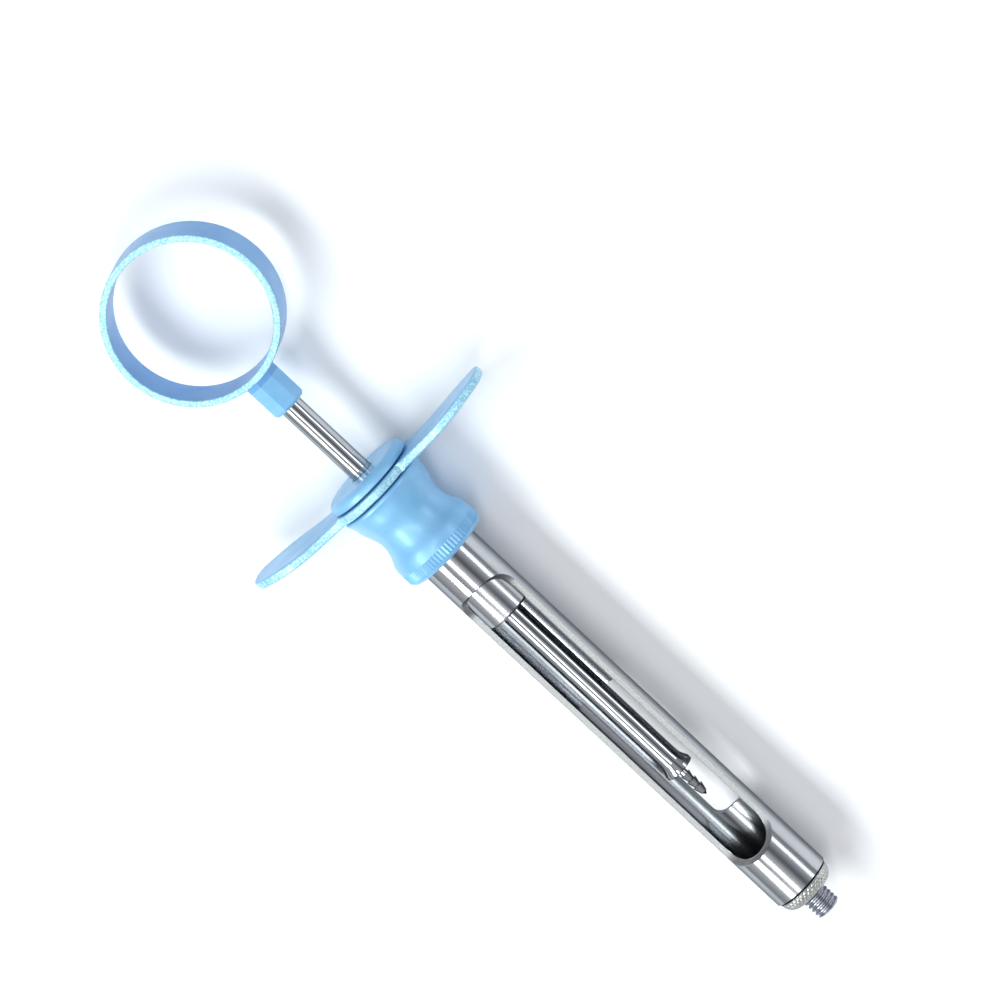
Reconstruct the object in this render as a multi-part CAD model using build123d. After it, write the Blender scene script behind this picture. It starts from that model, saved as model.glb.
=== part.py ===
"""Aspirating dental syringe for a standard cartridge, every piece its own solid.

+X runs along the axis from the thumb ring to the needle, +Z is the way the loading
window faces, and the origin is on the axis at the base of the needle thread.
"""
import math
import os

from build123d import *

# barrel
BARREL_R = 5.75
BORE_R = 4.65
BARREL_BACK = -98.0
BARREL_FRONT = -2.8
WINDOW_FLOOR_Z = 1.6
WINDOW_HUB_APEX = -80.8
WINDOW_NEEDLE_APEX = -12.0
WINDOW_HUB_RADIUS = 4.9
WINDOW_NEEDLE_RADIUS = 7.0
SLOT_BACK = -51.0
SLOT_FRONT = -20.0
SLOT_WIDTH = 5.9

# rod, its flared end and the harpoon
ROD_R = 2.1
ROD_BACK = -125.7
SPIGOT_R = 1.6
SPIGOT_LENGTH = 5.5
FLARE_START = -35.6
FLARE_END = -32.8
ROD_FRONT = -32.0
HEAD_R = 2.8
HARPOON_R = 0.72
HARPOON_ROOT = -36.0
HARPOON_TIP = -25.6

# thumb ring
RING_CENTRE = -148.8
RING_OUTER = 15.8
RING_INNER = 14.5
RING_WIDTH = 7.5
STEM_FLATS = 6.6

# guide cap, with the gland behind the barrel
CAP_BACK = -108.6
CAP_FRONT = -106.65
CAP_R = 8.7
CAP_ROUND = 1.5
SHOULDER_R = 5.8
PLATE_BACK = -106.3
PLATE_FRONT = -104.65
SPIGOT_OUTER = 5.2
GUIDE_BORE = 2.16
CAP_SPIGOT_FRONT = -100.4
GLAND_BACK = -102.4
GLAND_R = 3.95

# collar
COLLAR_BACK = -104.3
COLLAR_FRONT = -88.2
COLLAR_SHOULDER = -99.2
FLUTES = 71
FLUTE_BACK = -90.95
FLUTE_FRONT = -89.05
FLUTE_CREST = 8.5
FLUTE_ROOT = 8.3

# bush
BUSH_FRONT = -73.1

# finger plate
PLATE_DISC_R = 9.15
PLATE_DISC_HALF_Z = 8.9
HALF_SPAN = 28.2
WING_DROP = 1.9

# needle adapter
NOSE_BACK_R = 5.4
THREAD_R = 2.45
THREAD_ROOT_R = 2.05
THREAD_LENGTH = 4.2
THREAD_PITCH = 0.84
NEEDLE_BORE_R = 1.0
PLUG_BACK = -6.0

os.makedirs("parts", exist_ok=True)


def rod_along_x(radius, x0, x1):
    """Cylinder on the axis from x0 to x1."""
    blank = Cylinder(radius, x1 - x0, align=(Align.CENTER, Align.CENTER, Align.MIN))
    return Pos(x0, 0, 0) * Rot(0, 90, 0) * blank


def turned(points):
    """Solid turned about the axis from (x, radius) points, closed back to the first."""
    outline = Polyline(*[(x, r) for x, r in points], close=True)
    return revolve(make_face(outline), axis=Axis.X)


def save(solid, name):
    solid.label = name
    export_step(solid, f"parts/{name}.step")


def make_barrel():
    tube = rod_along_x(BARREL_R, BARREL_BACK, BARREL_FRONT)
    tube -= rod_along_x(BORE_R, BARREL_BACK - 1, BARREL_FRONT + 1)
    hub_z = WINDOW_FLOOR_Z + WINDOW_HUB_RADIUS
    hub_x = WINDOW_HUB_APEX + math.sqrt(WINDOW_HUB_RADIUS**2 - (hub_z - BARREL_R) ** 2)
    needle_z = WINDOW_FLOOR_Z + WINDOW_NEEDLE_RADIUS
    needle_run = math.sqrt(WINDOW_NEEDLE_RADIUS**2 - (needle_z - BARREL_R) ** 2)
    needle_x = WINDOW_NEEDLE_APEX - needle_run
    across = Rot(90, 0, 0)
    cutter = Pos(hub_x, 0, hub_z) * across * Cylinder(WINDOW_HUB_RADIUS, 20)
    cutter += Pos(needle_x, 0, needle_z) * across * Cylinder(WINDOW_NEEDLE_RADIUS, 20)
    middle = Box(needle_x - hub_x, 20, 8, align=(Align.MIN, Align.CENTER, Align.MIN))
    cutter += Pos(hub_x, 0, WINDOW_FLOOR_Z) * middle
    tube -= cutter
    slot = Box(SLOT_FRONT - SLOT_BACK, SLOT_WIDTH, 5, align=(Align.MIN, Align.CENTER, Align.MAX))
    corners = slot.edges().filter_by(Axis.Z)
    front = corners.filter_by_position(Axis.X, SLOT_FRONT - SLOT_BACK - 1, SLOT_FRONT - SLOT_BACK + 1)
    slot = fillet(front, 2.0)
    return tube - Pos(SLOT_BACK, 0, -2) * slot


def make_guide_bush():
    return turned(
        [
            (COLLAR_SHOULDER, GUIDE_BORE),
            (COLLAR_SHOULDER, BARREL_R),
            (BARREL_BACK, BARREL_R),
            (BARREL_BACK, BORE_R),
            (BUSH_FRONT - 0.4, BORE_R),
            (BUSH_FRONT, BORE_R - 0.4),
            (BUSH_FRONT, GUIDE_BORE + 0.3),
            (BUSH_FRONT - 0.3, GUIDE_BORE),
        ]
    )


def make_rod():
    return turned(
        [
            (ROD_BACK - SPIGOT_LENGTH, 0),
            (ROD_BACK - SPIGOT_LENGTH, SPIGOT_R - 0.3),
            (ROD_BACK - SPIGOT_LENGTH + 0.3, SPIGOT_R),
            (ROD_BACK, SPIGOT_R),
            (ROD_BACK, ROD_R),
            (FLARE_START, ROD_R),
            (FLARE_START + 1.4, ROD_R + 0.1),
            (FLARE_END, HEAD_R),
            (ROD_FRONT - 0.15, HEAD_R),
            (ROD_FRONT, HEAD_R - 0.15),
            (ROD_FRONT, HARPOON_R),
            (HARPOON_ROOT, HARPOON_R),
            (HARPOON_ROOT, 0),
        ]
    )


def make_harpoon():
    """Pin with three backward-facing barbs and a point."""
    points = [(HARPOON_ROOT, 0), (HARPOON_ROOT, HARPOON_R), (ROD_FRONT + 1.2, HARPOON_R)]
    barb_start = ROD_FRONT + 1.2
    barb_length = 1.5
    for i in range(3):
        x = barb_start + i * barb_length
        points.append((x, HARPOON_R + 0.28))
        points.append((x + barb_length, HARPOON_R - 0.12))
    points.append((HARPOON_TIP, 0))
    return turned(points)


def make_thumb_ring():
    band = Cylinder(RING_OUTER, RING_WIDTH) - Cylinder(RING_INNER, RING_WIDTH)
    band = fillet(band.edges().filter_by(GeomType.CIRCLE), 0.22)
    stem_back = RING_CENTRE + RING_INNER + 0.6
    flats = RegularPolygon(STEM_FLATS / 2, 8, major_radius=False)
    stem = extrude(Plane.YZ.offset(stem_back) * flats, amount=ROD_BACK - stem_back)
    stem = chamfer(stem.faces().sort_by(Axis.X)[-1].edges(), 0.5)
    ring = Pos(RING_CENTRE, 0, 0) * band + stem
    return ring - rod_along_x(SPIGOT_R, ROD_BACK - SPIGOT_LENGTH - 0.5, ROD_BACK + 1)


def make_guide_cap():
    """Button with a rounded rim, its threaded spigot and the gland for the seal."""
    rounding = []
    for i in range(9):
        angle = math.pi * i / 16
        x = CAP_BACK + CAP_ROUND * (1 - math.cos(angle))
        rounding.append((x, CAP_R - CAP_ROUND * (1 - math.sin(angle))))
    return turned(
        [
            (CAP_BACK, GUIDE_BORE + 0.35),
            *rounding,
            (CAP_FRONT - 0.12, CAP_R),
            (CAP_FRONT, CAP_R - 0.12),
            (CAP_FRONT, SHOULDER_R),
            (PLATE_BACK, SHOULDER_R),
            (PLATE_BACK, SPIGOT_OUTER),
            (CAP_SPIGOT_FRONT, SPIGOT_OUTER),
            (CAP_SPIGOT_FRONT, GLAND_R),
            (GLAND_BACK, GLAND_R),
            (GLAND_BACK, GUIDE_BORE),
            (CAP_BACK + 0.35, GUIDE_BORE),
        ]
    )


def make_gland_washer():
    return turned(
        [
            (CAP_SPIGOT_FRONT, GUIDE_BORE + 0.1),
            (CAP_SPIGOT_FRONT, SPIGOT_OUTER),
            (COLLAR_SHOULDER, SPIGOT_OUTER),
            (COLLAR_SHOULDER, GUIDE_BORE + 0.1),
        ]
    )


def make_o_ring():
    section = (GLAND_R - 0.02 - (ROD_R + 0.02)) / 2
    centre_x = (GLAND_BACK + CAP_SPIGOT_FRONT) / 2
    ring = Torus(ROD_R + 0.02 + section, section)
    return Pos(centre_x, 0, 0) * Rot(0, 90, 0) * ring


def make_collar():
    """Waisted hub, fluted round its needle end."""
    with BuildPart() as hub:
        with BuildSketch(Plane.XY):
            with BuildLine():
                back = Polyline((COLLAR_BACK, SPIGOT_OUTER), (COLLAR_BACK, 8.45))
                lip = Polyline(back @ 1, (COLLAR_BACK + 0.25, 8.7), (COLLAR_BACK + 0.7, 8.7))
                waist = Spline(
                    lip @ 1,
                    (COLLAR_BACK + 3.4, 7.95),
                    (COLLAR_BACK + 6.4, 7.02),
                    (COLLAR_BACK + 10.1, 7.6),
                    (COLLAR_BACK + 12.7, FLUTE_CREST),
                    tangents=[(0.6, -0.5), (1, 0)],
                )
                Polyline(
                    waist @ 1,
                    (FLUTE_BACK, FLUTE_CREST),
                    (FLUTE_BACK, FLUTE_ROOT - 0.1),
                    (FLUTE_FRONT, FLUTE_ROOT - 0.1),
                    (FLUTE_FRONT, FLUTE_CREST),
                    (FLUTE_FRONT + 0.35, FLUTE_CREST - 0.14),
                    (COLLAR_FRONT - 0.12, FLUTE_CREST - 0.5),
                    (COLLAR_FRONT, FLUTE_CREST - 0.85),
                    (COLLAR_FRONT, BARREL_R),
                    (COLLAR_SHOULDER, BARREL_R),
                    (COLLAR_SHOULDER, SPIGOT_OUTER),
                    back @ 0,
                )
            make_face()
        revolve(axis=Axis.X)
    crests = []
    for i in range(2 * FLUTES):
        angle = math.pi * i / FLUTES
        radius = FLUTE_CREST if i % 2 else FLUTE_ROOT
        crests.append((radius * math.cos(angle), radius * math.sin(angle)))
    star = make_face(Polyline(*crests, close=True))
    flutes = extrude(Plane.YZ.offset(FLUTE_BACK) * star, amount=FLUTE_FRONT - FLUTE_BACK)
    flutes -= rod_along_x(8.0, FLUTE_BACK - 1, FLUTE_FRONT + 1)
    return hub.part + flutes


def make_finger_plate():
    """Two paddles on a round centre with a flat above and below, bent gently towards the thumb."""
    half = Polyline((0, -5.3), (0, 5.3), (8.2, 5.5))
    edge = Spline(
        (8.2, 5.5),
        (11.8, 5.35),
        (18.5, 6.4),
        (25.0, 4.9),
        (HALF_SPAN, 0),
        tangents=[(1, -0.15), (0, -1)],
    )
    low = edge.mirror(Plane.XZ)
    back = Polyline((8.2, -5.5), (0, -5.3))
    wing = make_face(Wire([*half.edges(), *edge.edges(), *low.edges(), *back.edges()]))
    centre = Circle(PLATE_DISC_R) & Rectangle(2 * HALF_SPAN, 2 * PLATE_DISC_HALF_Z)
    outline = wing + mirror(wing, about=Plane.YZ) + centre
    prism = extrude(Plane.YZ.offset(PLATE_BACK - 4) * outline, amount=8)
    flat = PLATE_DISC_R
    far = HALF_SPAN + 2
    thick = PLATE_FRONT - PLATE_BACK
    back_line = PLATE_BACK - WING_DROP
    with BuildPart() as sheet:
        with BuildSketch(Plane.XY):
            with BuildLine():
                a = Spline(
                    (PLATE_BACK, flat),
                    (back_line, far),
                    tangents=[(0, 1), (-0.11, 1)],
                )
                Line(a @ 1, (a @ 1) + Vector(thick, 0))
                b = Spline(
                    (PLATE_BACK + thick, flat),
                    (back_line + thick, far),
                    tangents=[(0, 1), (-0.11, 1)],
                )
                Line(a @ 0, (PLATE_BACK, 0))
                Line((PLATE_BACK, 0), (PLATE_FRONT, 0))
                Line((PLATE_FRONT, 0), b @ 0)
            make_face()
        extrude(amount=12, both=True)
    strip = sheet.part + mirror(sheet.part, about=Plane.XZ)
    plate = prism & strip
    rims = plate.edges().filter_by(lambda e: e.length > 3)
    plate = fillet(rims, 0.4)
    return plate - rod_along_x(SPIGOT_OUTER, PLATE_BACK - 3, PLATE_FRONT + 3)


def make_needle_adapter():
    """Plug, domed nose, ridged needle thread and the bore the needle runs through."""
    points = [
        (PLUG_BACK, NEEDLE_BORE_R + 0.6),
        (PLUG_BACK, BORE_R),
        (BARREL_FRONT + 0.32, BORE_R),
        (BARREL_FRONT + 0.32, NOSE_BACK_R - 0.1),
        (BARREL_FRONT + 0.42, NOSE_BACK_R),
        (-2.0, NOSE_BACK_R),
        (-1.5, 5.15),
        (-0.8, 4.65),
        (-0.3, 3.95),
        (0.0, 3.3),
        (0.0, THREAD_ROOT_R),
    ]
    turns = round(THREAD_LENGTH / THREAD_PITCH)
    crest = 0.16
    for i in range(turns):
        x = (i + 0.5) * THREAD_PITCH
        points.append((x - 0.3, THREAD_ROOT_R))
        points.append((x - crest / 2, THREAD_R))
        points.append((x + crest / 2, THREAD_R))
        points.append((x + 0.3, THREAD_ROOT_R))
    points.append((THREAD_LENGTH, THREAD_ROOT_R - 0.05))
    points.append((THREAD_LENGTH, NEEDLE_BORE_R))
    points.append((PLUG_BACK + 0.6, NEEDLE_BORE_R))
    return turned(points)


save(make_thumb_ring(), "thumb_ring")
save(make_rod(), "piston_rod")
save(make_harpoon(), "harpoon")
save(make_guide_cap(), "guide_cap")
save(make_finger_plate(), "finger_grip_plate")
save(make_collar(), "collar")
save(make_barrel(), "barrel_tube")
save(make_guide_bush(), "guide_bush")
save(make_gland_washer(), "gland_washer")
save(make_o_ring(), "rod_o_ring")
save(make_needle_adapter(), "needle_adapter")
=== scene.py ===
import math

import bmesh
import bpy
from mathutils import Matrix, Vector


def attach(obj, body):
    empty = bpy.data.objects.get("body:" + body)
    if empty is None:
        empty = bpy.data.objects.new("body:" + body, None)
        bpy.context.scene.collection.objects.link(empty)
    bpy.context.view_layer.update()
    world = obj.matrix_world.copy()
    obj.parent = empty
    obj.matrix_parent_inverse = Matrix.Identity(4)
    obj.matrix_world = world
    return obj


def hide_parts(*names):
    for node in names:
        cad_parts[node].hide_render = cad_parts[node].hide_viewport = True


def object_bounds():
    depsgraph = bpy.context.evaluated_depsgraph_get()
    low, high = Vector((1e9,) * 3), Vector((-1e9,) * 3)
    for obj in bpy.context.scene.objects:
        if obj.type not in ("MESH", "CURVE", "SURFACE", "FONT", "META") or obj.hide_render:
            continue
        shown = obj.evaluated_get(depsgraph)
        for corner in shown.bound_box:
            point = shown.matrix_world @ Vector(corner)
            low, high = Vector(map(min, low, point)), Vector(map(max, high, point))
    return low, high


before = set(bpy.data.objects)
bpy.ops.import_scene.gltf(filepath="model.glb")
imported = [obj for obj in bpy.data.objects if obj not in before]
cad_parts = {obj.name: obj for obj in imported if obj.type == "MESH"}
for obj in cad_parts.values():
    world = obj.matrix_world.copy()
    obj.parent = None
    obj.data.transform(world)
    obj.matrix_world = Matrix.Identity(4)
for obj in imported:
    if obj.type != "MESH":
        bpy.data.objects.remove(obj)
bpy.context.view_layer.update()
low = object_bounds()[0]

MM = 0.001
# RING_FRONT marks where the thumb ring starts (painted shade on the ring); RING_EDGE_Z and PLATE_EDGE_NORMAL
# mask the edge faces that get the painted highlight.
RING_FRONT = -132 * MM
RING_EDGE_Z = 3.62 * MM
PLATE_EDGE_NORMAL = 0.6

NOSE_BACK = -6.0
GROOVE_FRONT = -2.37
GROOVE_R = 4.65
DOME_CENTRE = -2.3
DOME_R = 5.37
THREAD_PITCH = 0.84
THREAD_ROOT_R = 2.02
THREAD_DEPTH = 0.43
THREAD_END = 4.2
NOSE_SIDES = 238
KNURLS = 34


# ---------------------------------------------------------------- node helpers
def new_material(name):
    mat = bpy.data.materials.new(name)
    mat.use_nodes = True
    nodes = mat.node_tree.nodes
    return mat, nodes, mat.node_tree.links, nodes["Principled BSDF"]


def math_node(nodes, links, operation, a, b=None, clamp=False):
    node = nodes.new("ShaderNodeMath")
    node.operation = operation
    node.use_clamp = clamp
    for socket, value in zip(node.inputs, (a, b)):
        if value is None:
            continue
        if isinstance(value, (int, float)):
            socket.default_value = value
        else:
            links.new(value, socket)
    return node.outputs[0]


def noise(nodes, links, scale, detail=3.0, stretch=(1, 1, 1)):
    coords = nodes.new("ShaderNodeTexCoord")
    mapping = nodes.new("ShaderNodeMapping")
    mapping.inputs["Scale"].default_value = stretch
    links.new(coords.outputs["Object"], mapping.inputs["Vector"])
    tex = nodes.new("ShaderNodeTexNoise")
    tex.inputs["Scale"].default_value = scale
    tex.inputs["Detail"].default_value = detail
    links.new(mapping.outputs[0], tex.inputs["Vector"])
    return tex.outputs["Fac"]


def ramp(nodes, links, value, stops):
    node = nodes.new("ShaderNodeValToRGB")
    elements = node.color_ramp.elements
    while len(elements) < len(stops):
        elements.new(0.5)
    for element, (place, colour) in zip(elements, stops):
        element.position = place
        element.color = (*colour, 1)
    links.new(value, node.inputs[0])
    return node.outputs[0]


def grey(v):
    return (v, v, v)


def mix(nodes, links, factor, a, b):
    node = nodes.new("ShaderNodeMix")
    node.data_type = "RGBA"
    links.new(factor, node.inputs["Factor"])
    for socket, value in ((node.inputs[6], a), (node.inputs[7], b)):
        if isinstance(value, tuple):
            socket.default_value = (*value, 1)
        else:
            links.new(value, socket)
    return node.outputs[2]


def bump(nodes, links, height, strength, distance):
    node = nodes.new("ShaderNodeBump")
    node.inputs["Strength"].default_value = strength
    node.inputs["Distance"].default_value = distance
    links.new(height, node.inputs["Height"])
    return node.outputs[0]


def axis_radius(nodes, links):
    coords = nodes.new("ShaderNodeTexCoord")
    parts = nodes.new("ShaderNodeSeparateXYZ")
    links.new(coords.outputs["Object"], parts.inputs[0])
    y2 = math_node(nodes, links, "MULTIPLY", parts.outputs[1], parts.outputs[1])
    z2 = math_node(nodes, links, "MULTIPLY", parts.outputs[2], parts.outputs[2])
    return math_node(nodes, links, "SQRT", math_node(nodes, links, "ADD", y2, z2))


# ------------------------------------------------------------------- materials
def steel(name, tint=(0.5, 0.515, 0.535), rough=(0.07, 0.2), grain=0.3, cut=None):
    """Polished steel with fine turning lines and faint smears.

    Where cut gives two radii, the milled faces between them are matte.
    """
    mat, nodes, links, bsdf = new_material(name)
    bsdf.inputs["Metallic"].default_value = 1.0
    bsdf.inputs["Specular Tint"].default_value = (0.3, 0.32, 0.36, 1)
    smear = noise(nodes, links, 260, 4, (0.25, 1, 1))
    lines = noise(nodes, links, 5200, 2, (1, 0.06, 0.06))
    dark = tuple(c * 0.84 for c in tint)
    colour = ramp(nodes, links, smear, [(0.3, dark), (0.62, tint)])
    shine = ramp(nodes, links, smear, [(0.25, grey(rough[1])), (0.7, grey(rough[0]))])
    if cut:
        r = axis_radius(nodes, links)
        over = math_node(nodes, links, "GREATER_THAN", r, cut[0])
        under = math_node(nodes, links, "LESS_THAN", r, cut[1])
        face = math_node(nodes, links, "MULTIPLY", over, under)
        mill = ramp(nodes, links, noise(nodes, links, 3800, 3), [(0.3, grey(0.22)), (0.7, grey(0.36))])
        colour = mix(nodes, links, face, colour, mill)
        shine = mix(nodes, links, face, shine, grey(0.42))
    links.new(colour, bsdf.inputs["Base Color"])
    links.new(shine, bsdf.inputs["Roughness"])
    fine = nodes.new("ShaderNodeBump")
    fine.inputs["Strength"].default_value = grain
    fine.inputs["Distance"].default_value = 0.000012
    links.new(lines, fine.inputs["Height"])
    links.new(bump(nodes, links, smear, 0.35, 0.00006), fine.inputs["Normal"])
    links.new(fine.outputs[0], bsdf.inputs["Normal"])
    return mat


def blue_coating(name, rim):
    """Glossy light-blue coating with dust specks.

    rim (thumb or plate) says where the painted highlight goes: pale, sparkling glints painted on the edge
    faces. For the thumb ring the whole ring is also painted a darker blue as painted shade.
    """
    mat, nodes, links, bsdf = new_material(name)
    bsdf.inputs["Metallic"].default_value = 0.2
    bsdf.inputs["Coat Weight"].default_value = 0.4
    bsdf.inputs["Coat Roughness"].default_value = 0.2
    cloud = noise(nodes, links, 150, 4)
    body = ramp(nodes, links, cloud, [(0.3, (0.19, 0.47, 0.76)), (0.7, (0.26, 0.56, 0.85))])
    fleck = noise(nodes, links, 2600, 2)
    speck = ramp(nodes, links, fleck, [(0.735, grey(0.0)), (0.77, grey(1.0))])
    rare = noise(nodes, links, 420, 1)
    where = ramp(nodes, links, rare, [(0.5, grey(0.0)), (0.6, grey(1.0))])
    mask = math_node(nodes, links, "MULTIPLY", speck, where)
    colour = mix(nodes, links, mask, body, (0.03, 0.09, 0.18))
    gloss = ramp(nodes, links, cloud, [(0.3, grey(0.5)), (0.7, grey(0.4))])
    height = noise(nodes, links, 900, 2)
    if rim:
        coords = nodes.new("ShaderNodeTexCoord")
        parts = nodes.new("ShaderNodeSeparateXYZ")
        if rim == "thumb":
            links.new(coords.outputs["Object"], parts.inputs[0])
            far = math_node(nodes, links, "ABSOLUTE", parts.outputs[2])
            ring = math_node(nodes, links, "LESS_THAN", parts.outputs[0], RING_FRONT)
            # The whole thumb ring gets a darker copy of the blue: painted shade standing in for the shade on
            # its inner wall.
            ring_painted_shade = ramp(nodes, links, cloud, [(0.3, (0.12, 0.33, 0.66)), (0.7, (0.17, 0.41, 0.75))])
            colour = mix(nodes, links, ring, colour, ring_painted_shade)
            outer = math_node(nodes, links, "GREATER_THAN", far, RING_EDGE_Z)
            face = math_node(nodes, links, "MULTIPLY", outer, ring)
        else:
            links.new(coords.outputs["Normal"], parts.inputs[0])
            flat = math_node(nodes, links, "ABSOLUTE", parts.outputs[0])
            face = math_node(nodes, links, "LESS_THAN", flat, PLATE_EDGE_NORMAL)
        # Paler cyan with sparkle on the edge faces is a painted highlight; the same noise also lifts the
        # bump there.
        glint = noise(nodes, links, 2600, 3)
        painted_glint_colour = ramp(nodes, links, glint, [(0.4, (0.24, 0.55, 0.74)), (0.62, (0.50, 0.80, 0.89))])
        colour = mix(nodes, links, face, colour, painted_glint_colour)
        lift = ramp(nodes, links, glint, [(0.35, grey(0.2)), (0.65, grey(0.9))])
        height = mix(nodes, links, face, height, lift)
    links.new(colour, bsdf.inputs["Base Color"])
    links.new(gloss, bsdf.inputs["Roughness"])
    links.new(bump(nodes, links, height, 0.3, 0.00004), bsdf.inputs["Normal"])
    return mat


def rubber(name):
    mat, nodes, links, bsdf = new_material(name)
    cloud = noise(nodes, links, 1500, 4)
    links.new(ramp(nodes, links, cloud, [(0.3, grey(0.012)), (0.7, grey(0.035))]), bsdf.inputs["Base Color"])
    links.new(ramp(nodes, links, cloud, [(0.3, grey(0.5)), (0.7, grey(0.7))]), bsdf.inputs["Roughness"])
    links.new(bump(nodes, links, cloud, 0.4, 0.00003), bsdf.inputs["Normal"])
    return mat


barrel_steel = steel("barrel_steel", rough=(0.13, 0.24), grain=0.08, cut=(4.72 * MM, 5.68 * MM))
rod_steel = steel("rod_steel", rough=(0.06, 0.16), grain=0.25)
bush_steel = steel("bush_steel", tint=(0.5, 0.51, 0.53), rough=(0.16, 0.32), grain=0.6)
nose_steel = steel("nose_steel", tint=(0.62, 0.63, 0.6), rough=(0.2, 0.4), grain=0.9)
# The near-black tint of the groove steel is painted shade in the groove behind the nose dome.
groove_shade_steel = steel("groove_shade_steel", tint=(0.05, 0.05, 0.055), rough=(0.45, 0.6), grain=0.1)
thread_steel = steel("thread_steel", tint=(0.46, 0.47, 0.52), rough=(0.26, 0.34), grain=0.05)
coating = blue_coating("blue_coating", None)
finishes = {
    "thumb_ring": blue_coating("blue_ring", "thumb"),
    "guide_cap": coating,
    "finger_grip_plate": blue_coating("blue_plate", "plate"),
    "collar": coating,
    "piston_rod": rod_steel,
    "harpoon": bush_steel,
    "barrel_tube": barrel_steel,
    "guide_bush": bush_steel,
    "gland_washer": bush_steel,
    "rod_o_ring": rubber("seal_rubber"),
    "needle_adapter": nose_steel,
}
edges = {"barrel_tube": 0.16, "guide_bush": 0.1, "collar": 0.05, "piston_rod": 0.05, "guide_cap": 0.1}
for name, finish in finishes.items():
    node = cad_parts[name]
    for place in node.material_slots:
        place.material = finish
    if name in edges:
        rim = node.modifiers.new("rim", "BEVEL")
        rim.width = edges[name] * MM
        rim.segments = 3
        rim.limit_method = "ANGLE"
        rim.angle_limit = math.radians(38)
        rim.harden_normals = False


# ---------------------------------------------------- nose with a helical thread
def smooth_step(v):
    v = min(1.0, max(0.0, v))
    return v * v * (3 - 2 * v)


def nose_radius(x, turn):
    """Outer radius of the nose in mm at x mm along the axis, at turn (0 to 1) round it."""
    if x < GROOVE_FRONT:
        return GROOVE_R
    if x <= 0.0:
        dome = DOME_R
        if x > DOME_CENTRE:
            dome = 3.35 + 2.02 * math.sqrt(max(0.0, 1 - ((x - DOME_CENTRE) / 2.35) ** 2))
        knurl_a = abs(((turn * KNURLS + x * 0.85) % 1) - 0.5)
        knurl_b = abs(((turn * KNURLS - x * 0.85) % 1) - 0.5)
        depth = 0.2 * smooth_step((x + 2.45) / 0.4) * smooth_step((0.1 - x) / 0.5)
        return dome - depth * max(0.0, 1 - 4 * min(knurl_a, knurl_b))
    phase = (x / THREAD_PITCH - turn) % 1
    ridge = smooth_step((0.44 - abs(phase - 0.5)) / 0.36)
    fade = smooth_step(x / 0.25) * smooth_step((4.26 - x) / 0.3)
    return THREAD_ROOT_R + THREAD_DEPTH * ridge * fade


def build_nose():
    rows = [NOSE_BACK, -5.9, -2.38]
    rows += [-2.36 + i * 0.052 for i in range(45)]
    rows += [-0.02] + [0.02 + i * 0.029 for i in range(145)]
    rows = [x for x in rows if x < THREAD_END] + [THREAD_END]
    bore = [(THREAD_END, 1.12), (4.07, 1.0), (-5.4, 1.0), (NOSE_BACK, 1.6)]
    turns = [i / NOSE_SIDES for i in range(NOSE_SIDES)]
    mesh = bmesh.new()

    def vertex(x, r, turn):
        angle = math.tau * turn
        return mesh.verts.new((x * MM, r * math.cos(angle) * MM, r * math.sin(angle) * MM))

    rings = []
    for x in rows:
        back_bevel = 0.08 if x == NOSE_BACK else 0.0
        rings.append([vertex(x, nose_radius(x, turn) - back_bevel, turn) for turn in turns])
    for x, r in bore:
        rings.append([vertex(x, r, turn) for turn in turns])
    for j in range(len(rings)):
        a, b = rings[j], rings[(j + 1) % len(rings)]
        for i in range(NOSE_SIDES):
            k = (i + 1) % NOSE_SIDES
            mesh.faces.new((a[i], a[k], b[k], b[i]))
    bmesh.ops.recalc_face_normals(mesh, faces=mesh.faces)
    data = bpy.data.meshes.new("needle_nose")
    mesh.to_mesh(data)
    mesh.free()
    for face in data.polygons:
        face.use_smooth = True
    data.set_sharp_from_angle(angle=math.radians(78))
    nose = bpy.data.objects.new("needle_nose", data)
    bpy.context.collection.objects.link(nose)
    data.materials.append(nose_steel)
    data.materials.append(thread_steel)
    data.materials.append(groove_shade_steel)
    for face in data.polygons:
        if face.center.x > 0:
            face.material_index = 1
        # Faces behind the groove front get the near-black painted-shade groove material.
        elif face.center.x < GROOVE_FRONT * MM:
            face.material_index = 2
    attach(nose, "barrel")
    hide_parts("needle_adapter")


build_nose()


# ------------------------------------------------------------ floor, light, view
floor_z = low[2] - 0.00005
floor_mesh = bpy.data.meshes.new("floor")
span = 3.0
floor_mesh.from_pydata(
    [(-span, -span, floor_z), (span, -span, floor_z), (span, span, floor_z), (-span, span, floor_z)],
    [],
    [(0, 1, 2, 3)],
)
floor = bpy.data.objects.new("floor", floor_mesh)
bpy.context.collection.objects.link(floor)
paper, paper_nodes, paper_links, paper_bsdf = new_material("floor_paper")
paper_grain = noise(paper_nodes, paper_links, 40, 4)
paper_stops = [(0.3, (0.95, 0.95, 0.96)), (0.7, (0.97, 0.97, 0.975))]
paper_tone = ramp(paper_nodes, paper_links, paper_grain, paper_stops)
paper_links.new(paper_tone, paper_bsdf.inputs["Base Color"])
paper_bsdf.inputs["Roughness"].default_value = 0.9
paper_bsdf.inputs["Specular IOR Level"].default_value = 0.1
floor_mesh.materials.append(paper)

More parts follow.
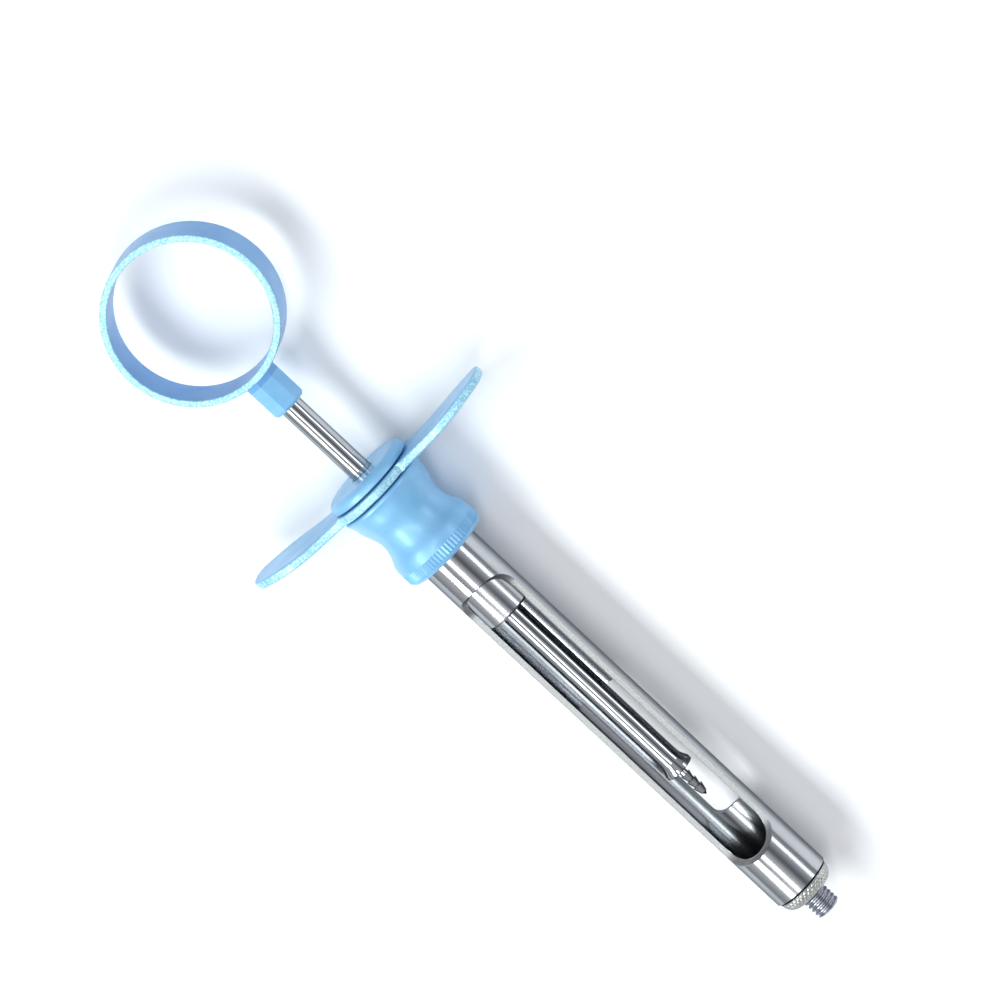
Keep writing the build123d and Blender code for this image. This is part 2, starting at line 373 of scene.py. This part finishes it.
to_camera = Vector((-0.163, 0.346, 0.924)).normalized()
x_axis = Vector((1, 0, 0))
along = (x_axis - to_camera * x_axis.dot(to_camera)).normalized()
down_left = along.cross(to_camera).normalized()
if down_left.y > 0:
    down_left = -down_left
lean = math.radians(43.1)
right = (along * math.cos(lean) - down_left * math.sin(lean)).normalized()
up = to_camera.cross(right).normalized()
target = Vector((-0.0876, 0, 0)) - down_left * 0.01275
reach = 1.8
view_width = 0.173
camera_data = bpy.data.cameras.new("camera")
camera_data.sensor_width = 36
camera_data.lens = camera_data.sensor_width * reach / view_width
camera_data.clip_start = 0.01
camera = bpy.data.objects.new("camera", camera_data)
turned = Matrix((right, up, to_camera)).transposed().to_4x4()
camera.matrix_world = Matrix.Translation(target + to_camera * reach) @ turned
bpy.context.collection.objects.link(camera)
bpy.context.scene.camera = camera


def area(name, place, aim, size, power, colour=(1, 1, 1)):
    data = bpy.data.lights.new(name, "AREA")
    data.shape = "RECTANGLE"
    data.size, data.size_y = size
    data.energy = power
    data.color = colour
    lamp = bpy.data.objects.new(name, data)
    lamp.location = place
    lamp.rotation_euler = (Vector(aim) - Vector(place)).to_track_quat("-Z", "Y").to_euler()
    bpy.context.collection.objects.link(lamp)


middle = (-0.08, 0.0, 0.0)
area("key", (-0.10, -0.38, 0.52), middle, (0.75, 0.2), 3.8, (0.94, 1.0, 1.0))
area("top", (-0.05, 0.05, 0.85), middle, (0.9, 0.14), 1.8, (0.97, 0.985, 1))
area("rim", (-0.08, 0.60, 0.28), middle, (0.5, 0.12), 0.7, (0.93, 0.97, 1))

world = bpy.data.worlds.new("studio")
bpy.context.scene.world = world
world.use_nodes = True
wn, wl = world.node_tree.nodes, world.node_tree.links
coords = wn.new("ShaderNodeTexCoord")
parts = wn.new("ShaderNodeSeparateXYZ")
wl.new(coords.outputs["Generated"], parts.inputs[0])
turn = math_node(wn, wl, "ARCTAN2", parts.outputs[1], parts.outputs[2])
turn = math_node(wn, wl, "ADD", math_node(wn, wl, "DIVIDE", turn, math.tau), 0.5)
bands = ramp(
    wn,
    wl,
    turn,
    [
        (0.0, (0.55, 0.57, 0.62)),
        (0.24, (0.45, 0.47, 0.52)),
        (0.34, (1.05, 1.07, 1.1)),
        (0.42, (0.16, 0.17, 0.2)),
        (0.46, (0.85, 0.87, 0.9)),
        (0.54, (1.0, 1.0, 1.03)),
        (0.58, (0.12, 0.13, 0.16)),
        (0.64, (0.8, 0.84, 0.9)),
        (0.76, (0.4, 0.43, 0.5)),
        (1.0, (0.55, 0.57, 0.62)),
    ],
)
wl.new(bands, wn["Background"].inputs["Color"])
wn["Background"].inputs["Strength"].default_value = 0.62
bpy.context.scene.view_settings.view_transform = "Standard"
